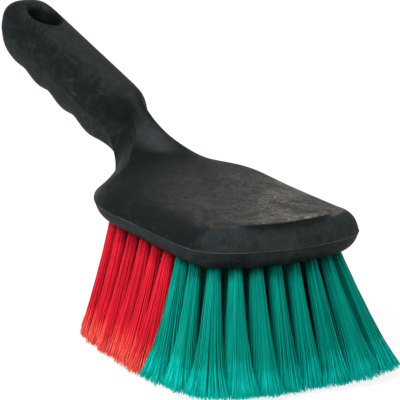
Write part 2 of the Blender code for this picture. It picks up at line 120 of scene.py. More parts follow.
# Where along the neck each surface climbs from the head to the grip, and where the neck is
# undercut and full
PARTING_CLIMB_SHARES = (-0.10, 0.70)
FACE_CLIMB_SHARES = (-0.26, 0.50)
SHOULDER_CLIMB_SHARES = (-0.90, 0.85)
SECTION_CLIMB_SHARES = (-0.40, 0.62)
UNDERCUT_SHARES = (-0.35, 1.05)
FULLNESS_SHARES = (-0.75, 0.95)

# By how much the head's insets grow at its rear and sides, where along it its rear changes, and
# how far out the ridge starts to fall and ends
REAR_INSET_GROWTH_SHARE = 0.35
SIDE_INSET_GROWTH_SHARE = 0.60
REAR_INSET_SHARES = (0.05, 0.60)
REAR_SLOPE_SHARES = (0.80, 0.97)
REAR_RISE_SHARES = (0.45, 0.80)
RIDGE_SHARES = (0.30, 2.40)

# Sections: the head's wall as (inwards, upwards) below and above the parting line, the grip's as
# angles, and places across the top and the underside as shares of the width
HEAD_LOWER_SHARES = ((1.00, -1.00), (0.76, -0.95), (0.27, -0.58), (0.03, -0.08), (0.00, 0.00))
HEAD_UPPER_SHARES = ((0.02, 0.07), (0.08, 0.27), (0.21, 0.54), (0.42, 0.75), (0.62, 0.865),
                     (0.70, 0.89), (0.79, 0.905), (0.88, 0.92), (1.00, 0.94))
GRIP_LOWER_ANGLES = tuple(math.radians(a) for a in (-76, -58, -32, -2, 0))
GRIP_UPPER_ANGLES = tuple(math.radians(a) for a in (2, 20, 38, 54, 64, 67, 70, 73, 77))
GRIP_SQUARENESS = 2.8
END_SQUARENESS = 2.7
TOP_SHARES = (0.9, 0.75, 0.5, 0.25, 0.0)
UNDERSIDE_SHARES = (0.0, 0.4, 0.75, 0.93)

# The line that the edge tufts stand on, as (back, out)
TUFT_LINE_SHARES = (
    (0.077, 0.000), (0.081, 0.238), (0.092, 0.455), (0.112, 0.610), (0.140, 0.715),
    (0.190, 0.775), (0.270, 0.790), (0.400, 0.790), (0.530, 0.790), (0.641, 0.778),
    (0.727, 0.730), (0.800, 0.610), (0.868, 0.420), (0.905, 0.200), (0.914, 0.000))

HEAD_REAR = HEAD_FRONT - HEAD_LENGTH
GRIP_START = HEAD_REAR - NECK_LENGTH
GRIP_END = GRIP_START - GRIP_LENGTH
CROWN_START = HEAD_FRONT - CROWN_START_SHARE * HEAD_LENGTH
GRIP_SLOPE = math.tan(GRIP_RISE_ANGLE)

# The lip that the top's front edge makes over a fine groove: the last points of
# HEAD_UPPER_SHARES there, how far forwards the wall faces where the lip starts and is whole, how
# far out to the side it starts to fade and ends, and by how much the painted shade under it
# weakens between two steps down the wall
LIP_SHARES = ((0.50, 0.810), (0.59, 0.850), (0.67, 0.872), (0.70, 0.945), (1.00, 0.985))
LIP_FACING_SHARES = (0.75, 0.95)
LIP_FADE = (18 * MM, 36 * MM)
LIP_SHADE_STEPS = (4, 11)
LIP_SHADE_LOSS_SHARE = 0.5

# The parting line, proud on the head, gone on the neck and a fine groove at the grip's end
FLASH_PROUD = 0.14 * MM
SEAM_FADE_SHARES = (-0.9, 0.1)
SEAM_GROOVE_RUN_SHARES = (0.7, 1.6)
SEAM_GROOVE_SHARE = 0.6

# The hang hole's funnel: how far out from the hole to its mouth, and how far up from the middle
FUNNEL_SHARES = ((0.0, 0.35), (0.10, 0.50), (0.42, 0.66), (0.80, 0.82), (1.10, 0.92), (1.50, 1.0),
                 (2.60, 1.07))
CUT_OVERRUN = 2 * MM

# Holes round the tufts
TUFT_HOLE_DEPTH = 1.5 * MM
TUFT_HOLE_OVERRUN = 3.0 * MM
TUFT_HOLE_ROOM = 0.45 * MM

# How finely the shapes are divided
OUTLINE_STEPS = 2
WAVE_STEPS = 6
END_STEPS = 7
WALL_STEPS = 2
FUNNEL_STEPS = 5
FUNNEL_SIDES = 96
TUFT_HOLE_SIDES = 28
TUFT_LINE_STEPS = 24
FINE_LEVELS = 2
WELD_DISTANCE = 0.001 * MM
SHARP_ANGLE = math.radians(38)

# Bristles of one edge tuft or inner tuft, how the tips lean to the near side and the front tufts
# bend less than their solids, and how wide the tips spread
FINE_COUNT = 360
INNER_COUNT = 120
FINE_RADIUS = 0.25 * MM
BRISTLE_SIDES = 3
SECTION_TURN = 1.7
LEAN_ASIDE = 1.4 * MM
STRAIGHTER_AHEAD_SHARE = 0.8
TIP_OVERLAP_SHARE = 0.68
OUTWARD_SPREAD_SHARE = 0.55
INNER_TIP_SPREAD = 6.5 * MM
STEM_SHARES = (-0.035, 0.10, 0.32, 0.56, 0.78, 0.95)
STEM_RADIUS_SHARES = (1, 1, 1, 1, 1, 0.7)

# How a tuft widens to its sides along its length: share of the length, and share of the way from
# the radius in its hole to the radius at its tip
WIDENING_SHARES = (
    (-0.05, 0.0), (0.0, 0.0), (0.10, 0.07), (0.30, 0.17), (0.50, 0.28), (0.70, 0.43),
    (0.85, 0.65), (0.94, 0.85), (1.0, 1.0))

# How unevenly the bristles stand: GOLDEN_ANGLE spaces them in a disc, and they cling in clumps
GOLDEN_ANGLE = 2.399963
ROOT_JITTER_SHARE = 0.03
RADIAL_JITTER_SHARE = 0.04
TIP_JITTER_SHARE = 0.035
CLUMP_COUNT = 7
CLUMP_ANGLE = 0.9
CLUMP_DRIFT_SHARE = 0.08
SWAY = 0.12 * MM
RAGGED_TIPS = (-0.7 * MM, 0.0, 1.3 * MM)
LEAST_TIP_HEIGHT = 0.05 * MM
# How much darker the bristles on a tuft's sides are, as painted shade between the tufts
SIDE_SHADE_SHARE = 0.6

# The two split ends of each bristle
SPLIT_COUNT = 2
SPLIT_RADIUS = 0.17 * MM
SPLIT_SHARES = (0.80, 0.91, 1.0)
SPLIT_RADIUS_SHARES = (1.1, 1.0, 0.8)
SPLIT_DRIFT = 0.34 * MM
SPLIT_MIDDLE_DRIFT_SHARE = 0.35
SPLIT_RAGGEDNESS = 0.4 * MM
SPLIT_SHADE_DRIFT_SHARE = 0.2
LEAST_SPLIT_HEIGHT = 0.02 * MM

# The solids' box that bristles stay inside, and how far they fold back from its sides
BOX_MARGIN = 0.3 * MM
FOLD_BACK_SHARE = 1.5
BOX_LOW = np.array(cad_box[0])[:2] + BOX_MARGIN
BOX_HIGH = np.array(cad_box[1])[:2] - BOX_MARGIN

# Colours of the block; its plastic comes in a shaded and a lit copy for painted light and dust
PLASTIC_SHADED = (0.0036, 0.0055, 0.0060)
PLASTIC_LIT_AND_DUSTY = (0.0175, 0.0218, 0.0226)
SCUFF_COLOUR = (0.055, 0.060, 0.060)
BLOOM_COLOUR = (0.185, 0.170, 0.143)
PAINTED_SHEEN_COLOUR = (0.040, 0.043, 0.047)
PAINTED_SHADE_COLOUR = (0.0014, 0.0024, 0.0028)
PARTING_HIGHLIGHT_COLOUR = (0.075, 0.080, 0.079)

# Noises as scale, detail, distortion and roughness
DUST_NOISE = (80.0, 10.0, 1.0, 0.70)
CLOUD_NOISE = (38.0, 7.0, 1.2, 0.62)
SWIRL_NOISE = (150.0, 8.0, 3.0, 0.72)
WARP_NOISE = (60.0, 4.0, 0.0, 0.6)
SCUFF_NOISE = (1.0, 4.0, 0.6, 0.6)
FLECK_NOISE = (330.0, 7.0, 0.6, 0.7)
BREAK_NOISE = (60.0, 3.0, 0.0, 0.6)
LUMP_NOISE = (210.0, 6.0, 1.0, 0.6)
GRAIN_NOISE = (1700.0, 3.0, 0.0, 0.6)
BLOTCH_NOISE = (140.0, 3.0, 0.0, 0.5)
PATCH_NOISE = (55.0, 3.0, 0.0, 0.5)

# Dust, and the least and most that its noise leaves of the neck's painted sheen and shade. Here
# and below, a table of pairs gives (value, share), and two numbers alone are a share's least and most.
DUST_SHARES = ((0.36, 0), (0.68, 1))
PATCHY_SHARES = (0.75, 1.0)

# The bloom: only on level places above the lip, more of it forwards, with clouds and veins
FLAT_SHARES = ((0.86, 0), (0.97, 1))
ABOVE_LIP_SHARES = ((0.10, 1), (0.45, 0))
BLOOM_SPAN = (-62.5 * MM, 62.5 * MM)
FORWARD_SHARES = ((0.02, 0), (0.37, 0.20), (0.66, 0.36), (0.82, 0.90), (1.00, 1))
CLOUD_SHARES = ((0.34, 0.15), (0.64, 1))
SWIRL_SHARES = ((0.40, 0), (0.62, 1))
SWIRL_MARK_SHARES = (0.20, 1.05)
WARP_SHARE = 0.14
VEIN_SCALE = 120.0
VEIN_SHARES = ((0.0, 0.45), (0.10, 1))

# The scratches, which a noise stretched along the brush makes
SCUFF_TURN = (0.0, 0.0, 0.5)
SCUFF_SCALES = (70.0, 700.0, 700.0)
SCUFF_SHARES = ((0.62, 0), (0.74, 1))
SCUFF_STRENGTH_SHARE = 0.5

# The plastic: by how much painted light makes it lighter on ends and on undersides, by how much it is
# lighter in dust and in flecks, and by how much painted shade makes it darker under the lip
ENDWAYS_LIGHT_SHARES = (0.34, 1.54)
FACING_LIGHT_SHARES = ((0.0, 0.60), (0.35, 0.50), (0.55, 0.14), (0.72, 0.0), (0.90, 0.0), (1.0, 0.06))
FLECK_SHARES = ((0.35, 0), (0.65, 1))
FLECK_LIGHT_SHARES = (-0.52, -0.12)
DUST_LIGHT_SHARE = 0.55
LIP_SHADE_SHARES = ((0.50, 0), (1.00, 1))
LIGHT_SHARES = ((0.0, 0), (0.9, 1))

# The neck: centres and radii of the painted sheen on its crest, of the painted shade in a ring
# round its foot, which is an upright tube, and of the painted shade in the saddles beside it
ENDLESS = 1000.0
NECK_CREST = (-62 * MM, 0.0, FACE_Z + 32 * MM)
NECK_CREST_RADII = (12 * MM, 9 * MM, 20 * MM)
NECK_TOE = (-63 * MM, 0.0, 0.0)
NECK_TOE_RADII = (40 * MM, 40 * MM, ENDLESS * MM)
SADDLE = (-85 * MM, 8 * MM, FACE_Z + 43.5 * MM)
SADDLE_RADII = (19 * MM, 10 * MM, 10 * MM)
NECK_TOP_SHARES = ((0.45, 0), (0.75, 1))
CREST_SHARES = ((0.15, 0.55), (1.0, 0))
RING_SHARES = ((0.24, 0), (0.34, 1), (0.46, 0.95), (0.75, 0.42), (1.0, 0))
RING_SPAN = (-75 * MM, 50 * MM)
RING_AHEAD_SHARES = ((0.03, 0), (0.12, 1))
SADDLE_SHARES = ((0.45, 1), (1.0, 0))

# The parting line's painted highlight, its breaks and edges, and painted shade in the hang hole
BREAK_SHARES = ((0.35, 0.15), (0.6, 0.7))
LINE_SHARES = ((0.30, 0), (0.80, 1))
BORE_SHARES = ((0.86, 1), (0.99, 0))

# Gloss and relief
BLOCK_ROUGHNESS_SHARES = (0.48, 0.60)
BLOOM_ROUGHNESS_SHARE = 0.15
BRUSH_SPECULAR = 0.03
GRAIN_SHARE = 0.22
BUMP_STRENGTH = 0.35
BUMP_DISTANCE = 0.4 * MM

# Bristles: colour at the root, darker there as painted shade under the block, along the body, in the
# lighter strands and at the pale tip, and the shares of the length where one becomes the next
BRISTLE_COLOURS = {
    "red": ((0.20, 0.001, 0.006), (0.58, 0.012, 0.028), (0.70, 0.046, 0.046), (0.86, 0.125, 0.095)),
    "green": ((0.0, 0.040, 0.032), (0.0, 0.235, 0.180), (0.0, 0.36, 0.30), (0.002, 0.47, 0.40)),
}
COLOUR_CHANGE_SHARES = (0.0, 0.12, 0.74, 0.83, 0.97)
SHADE_SHIFT_SHARE = 0.12
BLOTCH_SHIFT_SHARE = 0.26
# Darker strands: some at random, and more on a tuft's sides as painted shade, fading towards the tips
DARK_STRAND_SHARE = 0.50
FADING_SHARES = ((0.55, 1.0), (0.92, 0.15))
DARK_STRAND_SHARES = ((0.0, 0.60), (0.45, 0.0))
LIGHT_STRAND_SHARES = ((0.80, 0.0), (1.0, 0.20))
DARK_PATCH_SHARES = ((0.35, 0.22), (0.6, 0.0))
BRISTLE_ROUGHNESS_SHARES = ((0.0, 0.38), (0.8, 0.46), (1.0, 0.6))

# Floor, background and lights: name, azimuth, elevation, distance, size and power
WHITE = (1.0, 1.0, 1.0)
FLOOR_COLOUR = (0.93, 0.93, 0.93)
FLOOR_ROUGHNESS = 0.8
FLOOR_SPECULAR = 0.1
FLOOR_WHITE_SHARE = 0.86
FLOOR_HALF_WIDTH = 6.0
WORLD_LIGHT = 0.75
WORLD_SEEN = 1.0
LIGHT_TARGET = (-0.04, 0.0, 0.06)
LIGHTS = (("key", 15, 35, 1.3, 0.8, 20.0), ("fill", 95, 25, 1.4, 1.0, 3.4),
          ("top", -60, 70, 1.3, 0.9, 5.0))

# The camera fitted to the photograph. Its place is to the right, up and back from the middle of
# the block's underside.
CAMERA_AZIMUTH, CAMERA_ELEVATION, CAMERA_ROLL = (math.radians(a) for a in (54.96, 15.39, 3.46))
CAMERA_UNIT = 0.8187 * MM
CAMERA_PLACE = (-13.24 * CAMERA_UNIT, 19.98 * CAMERA_UNIT, 2012.08 * CAMERA_UNIT)
SENSOR_WIDTH = 36.0
FOCAL_LENGTH_IN_PIXELS = 3329.93
PHOTO_WIDTH_IN_PIXELS = 400
CAMERA_LENS = FOCAL_LENGTH_IN_PIXELS / PHOTO_WIDTH_IN_PIXELS * SENSOR_WIDTH
CAMERA_CLIP_END = 20.0


# Shape of the block

def smooth_step(value, start, end):
    share = min(max((value - start) / (end - start), 0.0), 1.0)
    return share * share * (3.0 - 2.0 * share)


def mix(first, second, share):
    return first + (second - first) * share


def curve_through(points, steps):
    """A smooth curve through points with any number of coordinates."""
    count = len(points)
    curve = []
    for i in range(count - 1):
        before = points[max(i - 1, 0)]
        start, end = points[i], points[i + 1]
        after = points[min(i + 2, count - 1)]
        for k in range(steps):
            t = k / steps
            curve.append(tuple(
                0.5 * (2 * b + (c - a) * t + (2 * a - 5 * b + 4 * c - d) * t ** 2
                       + (3 * b - a - 3 * c + d) * t ** 3)
                for a, b, c, d in zip(before, start, end, after)))
    curve.append(tuple(points[-1]))
    return curve


def grip_line(x, height):
    return height + (GRIP_START - x) * GRIP_SLOPE


def behind_front(x, shares):
    return smooth_step(-x, *(HEAD_LENGTH * share - HEAD_FRONT for share in shares))


def head_top(x):
    return HEAD_HEIGHT + HEAD_REAR_RISE * behind_front(x, REAR_RISE_SHARES)


def grip_end_droop(x):
    return GRIP_END_DROOP * (1 - smooth_step(x, GRIP_END, GRIP_END + DROOP_RUN_SHARE * GRIP_END_LENGTH))


def crown_height(x):
    if x <= GRIP_START:
        return grip_line(x, GRIP_LIFT + GRIP_DEPTH) - grip_end_droop(x)
    along = (x - CROWN_START) / (GRIP_START - CROWN_START)
    if along <= 0:
        return head_top(x)
    for (low, low_share), (high, high_share) in zip(CROWN_SHARES, CROWN_SHARES[1:]):
        if along <= high:
            share = mix(low_share, high_share, (along - low) / (high - low))
            return mix(head_top(x), GRIP_LIFT + GRIP_DEPTH, share)


def neck_climb(x, shares):
    return smooth_step(-x, *(NECK_LENGTH * share - HEAD_REAR for share in shares))


def shoulder_height(x):
    return mix(head_top(x), crown_height(x), neck_climb(x, SHOULDER_CLIMB_SHARES))


def ridge_height(place):
    inner, outer = (GRIP_HALF_WIDTH * share for share in RIDGE_SHARES)
    ridge = 1.0 - smooth_step(abs(place.y), inner, outer)
    return ridge * (crown_height(place.x) - shoulder_height(place.x))


def parting_height(x):
    middle = grip_line(x, GRIP_LIFT + GRIP_DEPTH / 2)
    return mix(PARTING_HEIGHT, middle, neck_climb(x, PARTING_CLIMB_SHARES))


def seam_share(x):
    """How far the parting line stands out, below 0 where it is a groove."""
    start, end = (GRIP_END + share * GRIP_END_LENGTH for share in SEAM_GROOVE_RUN_SHARES)
    groove = SEAM_GROOVE_SHARE * (1.0 - smooth_step(x, start, end))
    return 1.0 - neck_climb(x, SEAM_FADE_SHARES) - groove


def lip_share(station):
    """How far the lip of the top's front edge stands out, 0 away from the front."""
    place, outward = station
    if outward is None:
        return 0.0
    return smooth_step(outward.x, *LIP_FACING_SHARES) * (1.0 - smooth_step(abs(place.y), *LIP_FADE))


def underside_height(x):
    wave = math.cos((GRIP_START - FIRST_FINGER_WAVE - x) / FINGER_WAVE_PITCH * math.tau)
    wave *= smooth_step(x, GRIP_END + GRIP_END_LENGTH, GRIP_END + 2 * GRIP_END_LENGTH)
    grip = grip_line(x, GRIP_LIFT) - FINGER_WAVE_HEIGHT * wave
    grip += UNDERSIDE_DROOP_SHARE * grip_end_droop(x)
    return mix(0.0, grip, neck_climb(x, FACE_CLIMB_SHARES))


def block_stations():
    """Points along the parting line from the grip's end to the head's front, with outward
    directions. Round the grip's end a station is an angle and has no direction."""
    stations = [(i / END_STEPS * math.pi / 2, None) for i in range(END_STEPS)]
    start = GRIP_END + GRIP_END_LENGTH
    count = max(round((GRIP_START - start) / FINGER_WAVE_PITCH * WAVE_STEPS), 2)
    line = [(mix(start, GRIP_START, i / count), GRIP_HALF_WIDTH) for i in range(count)]
    table = [(HEAD_FRONT - back * HEAD_LENGTH, out * HEAD_HALF_WIDTH)
             for back, out in HEAD_OUTLINE_SHARES]
    table += [(HEAD_REAR - back * NECK_LENGTH, mix(GRIP_HALF_WIDTH, HEAD_HALF_WIDTH, out))
              for back, out in NECK_OUTLINE_SHARES]
    table.append((GRIP_START, GRIP_HALF_WIDTH))
    line += curve_through(table[::-1], OUTLINE_STEPS)
    for i, point in enumerate(line):
        before, after = line[max(i - 1, 0)], line[min(i + 1, len(line) - 1)]
        along = Vector((after[0] - before[0], after[1] - before[1])).normalized()
        outward = Vector((-along.y, along.x))
        if i == 0:
            outward = Vector((0.0, 1.0))
        if i == len(line) - 1:
            outward = Vector((1.0, 0.0))
        stations.append((Vector(point), outward))
    return stations


def inset_point(station, inset):
    place, outward = station
    if outward is None:
        power = 2 / END_SQUARENESS
        reach = (GRIP_END_LENGTH - inset) * math.cos(place) ** power
        width = (GRIP_HALF_WIDTH - inset) * math.sin(place) ** power
        return Vector((GRIP_END + GRIP_END_LENGTH - reach, width))
    return place - outward * inset


def wall_shares(lip):
    """Points of the head's wall as shares inwards and upwards, with the lip as far as it is there."""
    kept = len(HEAD_UPPER_SHARES) - len(LIP_SHARES)
    lipped = tuple((mix(plain_in, lip_in, lip), mix(plain_up, lip_up, lip))
                   for (plain_in, plain_up), (lip_in, lip_up)
                   in zip(HEAD_UPPER_SHARES[kept:], LIP_SHARES))
    return HEAD_LOWER_SHARES + HEAD_UPPER_SHARES[:kept] + lipped


def wall_points(station, x, narrow, lip):
    """The section's wall as (x, y, z), from the underside's edge up to the top's rim."""
    head = 1.0 - neck_climb(x, SECTION_CLIMB_SHARES)
    parting = parting_height(x)
    power = 2 / GRIP_SQUARENESS
    waist = neck_climb(x, UNDERCUT_SHARES)
    undercut = NECK_UNDERCUT * 4 * waist * (1 - waist)
    swell = neck_climb(x, FULLNESS_SHARES)
    fullness = NECK_FULLNESS_SHARE * 4 * swell * (1 - swell)
    even = behind_front(x, REAR_SLOPE_SHARES)
    face_inset = FACE_INSET * (1 + REAR_INSET_GROWTH_SHARE * behind_front(x, REAR_INSET_SHARES))
    sideways = 1 - max(station[1].x, 0.0) if station[1] else 1.0
    top_inset = TOP_INSET * (1 + SIDE_INSET_GROWTH_SHARE * sideways ** 2)
    insets = [face_inset] * len(HEAD_LOWER_SHARES) + [top_inset] * len(HEAD_UPPER_SHARES)
    angles = GRIP_LOWER_ANGLES + GRIP_UPPER_ANGLES
    wall = []
    for (inward, upward), inset, angle in zip(wall_shares(lip), insets, angles):
        grip_inward = GRIP_HALF_WIDTH * (1 - math.cos(angle) ** power)
        grip_upward = math.copysign(abs(math.sin(angle)) ** power, angle)
        grip_inward += undercut * max(-grip_upward, 0.0)
        inward = mix(inward, max(upward, 0.0) / HEAD_UPPER_SHARES[-1][1], even * (upward > 0))
        climb = mix(grip_upward, upward, head)
        amount = narrow * mix(grip_inward, inward * inset, head)
        place = inset_point(station, amount * (1 - fullness * max(climb, 0.0) ** 2))
        if climb > 0:
            height = parting + climb * (shoulder_height(place.x) - parting)
            height += climb * ridge_height(place)
        else:
            height = parting + climb * (parting - underside_height(x))
        wall.append((place.x, place.y, height))
    return curve_through(wall, WALL_STEPS)


def top_points(edge):
    """The section's top as (x, y, z), from beside the wall's last point to the middle."""
    shoulder = shoulder_height(edge[0])
    crest = ridge_height(Vector(edge[:2]))
    roundness = math.sqrt(min(edge[1] / (GRIP_HALF_WIDTH / 2), 1.0))
    roundness *= smooth_step(HEAD_FRONT - TOP_INSET - edge[0], 0.0, HEAD_CROWN_RUN)
    points = []
    for share in TOP_SHARES:
        place = Vector((edge[0], edge[1] * share))
        level = mix(edge[2] - crest, shoulder, (1 - share * share) * roundness)
        points.append((place.x, place.y, level + ridge_height(place)))
    return points


def section_points(station):
    """Half of the block's section as (x, y, z, flash, below_lip), from the middle of its underside
    round the parting line to the middle of its top. Flash is not 0 on the parting line, and below_lip,
    where shade is painted, is 1 in the groove under the top's front edge and less on the wall below."""
    x, y = inset_point(station, 0.0)
    narrow = y / GRIP_HALF_WIDTH if GRIP_START < x < HEAD_REAR else 1.0
    lip = lip_share(station)
    wall = wall_points(station, x, narrow, lip)
    seam = WALL_STEPS * (len(HEAD_LOWER_SHARES) - 1)
    flash = seam_share(x)
    flash_place = inset_point(station, -FLASH_PROUD * flash)
    wall[seam] = (flash_place.x, flash_place.y, wall[seam][2])
    first = wall[0]
    under = [(first[0], first[1] * share, mix(underside_height(x), first[2], share ** 2))
             for share in UNDERSIDE_SHARES]
    points = under + wall + top_points(wall[-1])
    seam += len(under)
    rim = len(under) + len(wall) - 1 - WALL_STEPS
    below_lip = [lip * smooth_step(rim - i, 0, WALL_STEPS)
                 * (1 - LIP_SHADE_LOSS_SHARE * smooth_step(rim - i, *LIP_SHADE_STEPS))
                 for i in range(len(points))]
    return [(*point, flash if i == seam else 0.0, below_lip[i]) for i, point in enumerate(points)]


def apply_modifiers(obj):
    graph = bpy.context.evaluated_depsgraph_get()
    mesh = bpy.data.meshes.new_from_object(obj.evaluated_get(graph), depsgraph=graph)
    obj.modifiers.clear()
    obj.data = mesh


def new_piece(name, bm):
    mesh = bpy.data.meshes.new(name)
    bm.to_mesh(mesh)
    bm.free()
    obj = bpy.data.objects.new(name, mesh)
    bpy.context.scene.collection.objects.link(obj)
    return obj


def hole_centre():
    x = GRIP_END + HANG_HOLE_FROM_END
    return Vector((x, 0.0, FACE_Z + grip_line(x, GRIP_LIFT + GRIP_DEPTH / 2)))


def hole_cutter():
    """Funnel from each side of the grip down to the narrow middle of the hang hole."""
    half = GRIP_DEPTH * math.cos(GRIP_RISE_ANGLE) / 2
    rim = HANG_HOLE_MOUTH_RADIUS - HANG_HOLE_RADIUS
    fine = [(HANG_HOLE_RADIUS + out * rim, share * half)
            for out, share in curve_through(FUNNEL_SHARES, FUNNEL_STEPS)]
    end_radius, end_height = fine[-1]
    end_height += CUT_OVERRUN
    upper = [(0.0, end_height), (end_radius, end_height)] + fine[::-1]
    points = upper + [(radius, -height) for radius, height in upper[::-1]]
    bm = bmesh.new()
    verts = [bm.verts.new((radius, 0.0, height)) for radius, height in points]
    for first, second in zip(verts, verts[1:]):
        bm.edges.new((first, second))
    cutter = new_piece("hang_hole_cutter", bm)
    screw = cutter.modifiers.new("turn", "SCREW")
    screw.steps = screw.render_steps = FUNNEL_SIDES
    screw.use_merge_vertices = True
    screw.merge_threshold = WELD_DISTANCE
    cutter.location = hole_centre()
    cutter.rotation_euler = (0.0, GRIP_RISE_ANGLE, 0.0)
    cutter.scale = (HANG_HOLE_STRETCH, 1.0, 1.0)
    return cutter


def tuft_hole_cutter(tufts):
    """Short countersunk holes that the tufts stand in."""
    bm = bmesh.new()
    for root, radius in tufts:
        axis = tuft_axis(root)
        face = Vector((root.x, root.y, FACE_Z))
        start, end = face - axis * TUFT_HOLE_OVERRUN, face + axis * TUFT_HOLE_DEPTH
        turn = (end - start).to_track_quat("Z", "Y").to_matrix().to_4x4()
        bmesh.ops.create_cone(
            bm, cap_ends=True, segments=TUFT_HOLE_SIDES, radius1=radius,
            radius2=radius + TUFT_HOLE_ROOM, depth=(end - start).length,
            matrix=Matrix.Translation((start + end) / 2) @ turn)
    return new_piece("tuft_hole_cutter", bm)


def make_block(tufts):
    bm = bmesh.new()
    seam = bm.verts.layers.float.new("seam")
    below_lip = bm.verts.layers.float.new("below_lip")
    rows = []
    for station in block_stations():
        row = []
        for x, y, z, flash, below in section_points(station):
            vert = bm.verts.new((x, y, z + FACE_Z))
            vert[seam], vert[below_lip] = flash, below
            row.append(vert)
        rows.append(row)
    for near, far in zip(rows, rows[1:]):
        for i in range(len(near) - 1):
            bm.faces.new((near[i], near[i + 1], far[i + 1], far[i]))
    bmesh.ops.remove_doubles(bm, verts=bm.verts, dist=WELD_DISTANCE)
    block = new_piece("moulded_block", bm)
    mirror = block.modifiers.new("other side", "MIRROR")
    mirror.use_axis = (False, True, False)
    mirror.use_clip = True
    mirror.merge_threshold = WELD_DISTANCE
    fine = block.modifiers.new("fine", "SUBSURF")
    fine.levels = fine.render_levels = FINE_LEVELS
    cutters = [hole_cutter(), tuft_hole_cutter(tufts)]
    for cutter in cutters:
        modifier = block.modifiers.new(cutter.name, "BOOLEAN")
        modifier.operation = "DIFFERENCE"
        modifier.object = cutter
    apply_modifiers(block)
    for cutter in cutters:
        bpy.data.objects.remove(cutter, do_unlink=True)
    block.data.shade_smooth()
    block.data.set_sharp_from_angle(angle=SHARP_ANGLE)
    return block


# Tufts

def edge_tuft_places():
    table = [(HEAD_FRONT - back * HEAD_LENGTH, out * HEAD_HALF_WIDTH)
             for back, out in TUFT_LINE_SHARES]
    side = curve_through(table, TUFT_LINE_STEPS)
    line = [Vector(p) for p in side + [(x, -y) for x, y in side[-2::-1]]]
    lengths = [0.0]
    for first, second in zip(line, line[1:]):
        lengths.append(lengths[-1] + (second - first).length)
    places = []
    for k in range(EDGE_TUFT_COUNT):
        target = (k + 0.5) / EDGE_TUFT_COUNT * lengths[-1]
        i = next(n for n in range(1, len(lengths)) if lengths[n] >= target)
        share = (target - lengths[i - 1]) / (lengths[i] - lengths[i - 1])
        places.append(line[i - 1].lerp(line[i], share))
    return places


def row_places():
    edge = edge_tuft_places()
    first = math.floor(max(p.x for p in edge) / ROW_PITCH)
    last = math.ceil(min(p.x for p in edge) / ROW_PITCH)
    reach = math.ceil(HEAD_HALF_WIDTH / ROW_PITCH)
    rows = []
    for number in range(first, last - 1, -1):
        x = number * ROW_PITCH
        shift = 0.5 * ROW_PITCH if number % 2 else 0.0
        inside = max((abs(p.y) for p in edge if abs(p.x - x) < ROW_PITCH), default=0.0)
        ys = [k * ROW_PITCH + shift for k in range(-reach, reach + 1)]
        ys = [y for y in ys if abs(y) < inside
              and min((Vector((x, y)) - p).length for p in edge) > LEAST_TUFT_DISTANCE]
        if ys:
            rows.append((x, ys))
    return rows


def tip_place(root):
    ahead, aside = max(root.x / HEAD_FRONT, 0.0), root.y / HEAD_HALF_WIDTH
    corner = CORNER_FLARE_SHARE * ahead ** 2 * aside ** 2
    flare = FLARE_AHEAD_SHARE if root.x > 0 else FLARE_BEHIND_SHARE
    side_flare = mix(FLARE_SIDE_SHARE, REAR_FLARE_SIDE_SHARE, min(max(-root.x / HEAD_FRONT, 0.0), 1.0))
    return Vector((root.x * (1 + flare + corner), root.y * (1 + side_flare + corner) - LEAN_ASIDE))


def tuft_axis(root):
    lean = (tip_place(root) - root) * (1 - BEND_SHARE)
    return Vector((lean.x, lean.y, -FACE_Z)).normalized()


def tip_rise(root):
    lean = (tip_place(root) - root).length
    return TIP_RISE_SHARE * lean ** 2 / (2 * FACE_Z)


def inside_box(places):
    """Bristles that would leave the solids' box are folded back into it."""
    places = places - FOLD_BACK_SHARE * np.maximum(places - BOX_HIGH, 0.0)
    return places + FOLD_BACK_SHARE * np.maximum(BOX_LOW - places, 0.0)


def root_disc(count, rng):
    """Places spread evenly over a disc of radius 1 and jittered, with the angle of each."""
    number = np.arange(count) + 0.5
    angle = number * GOLDEN_ANGLE + rng.uniform(0, math.tau)
    disc = np.stack([np.cos(angle), np.sin(angle)], 1) * np.sqrt(number / count)[:, None]
    return angle, disc + rng.normal(0, ROOT_JITTER_SHARE, (count, 2))


def tip_disc(angle, disc, outward, rng):
    """The same places at the tips, where they cling in clumps and spread less outwards."""
    count = len(disc)
    tips = disc * (1 + rng.normal(0, RADIAL_JITTER_SHARE, (count, 1)))
    tips += rng.normal(0, TIP_JITTER_SHARE, (count, 2))
    clump = np.round(angle / CLUMP_ANGLE) % CLUMP_COUNT
    for k in range(CLUMP_COUNT):
        tips[clump == k] += rng.normal(0, CLUMP_DRIFT_SHARE, 2)
    return tips - (1 - OUTWARD_SPREAD_SHARE) * (tips @ outward)[:, None] * outward


def split_ends(base, shade, rng):
    """The split ends of a tuft's bristles, in the form that tuft_bristles gives."""
    count = len(base)
    along = np.array(SPLIT_SHARES)
    radii = np.tile(np.array(SPLIT_RADIUS_SHARES) * SPLIT_RADIUS, (count, 1))
    parts = []
    for _ in range(SPLIT_COUNT):
        ends = base.copy()
        drift = rng.normal(0, SPLIT_DRIFT, (count, 2))
        ends[:, 1, :2] += drift * SPLIT_MIDDLE_DRIFT_SHARE
        ends[:, 2, :2] += drift
        ends[:, 1:, :2] = inside_box(ends[:, 1:, :2])
        ragged = ends[:, 2, 2] + rng.normal(0, SPLIT_RAGGEDNESS, count)
        ends[:, 2, 2] = np.maximum(ragged, LEAST_SPLIT_HEIGHT)
        shades = np.clip(shade + rng.normal(0, SPLIT_SHADE_DRIFT_SHARE, count), 0, 1)
        parts.append((ends, radii, along, shades))
    return parts


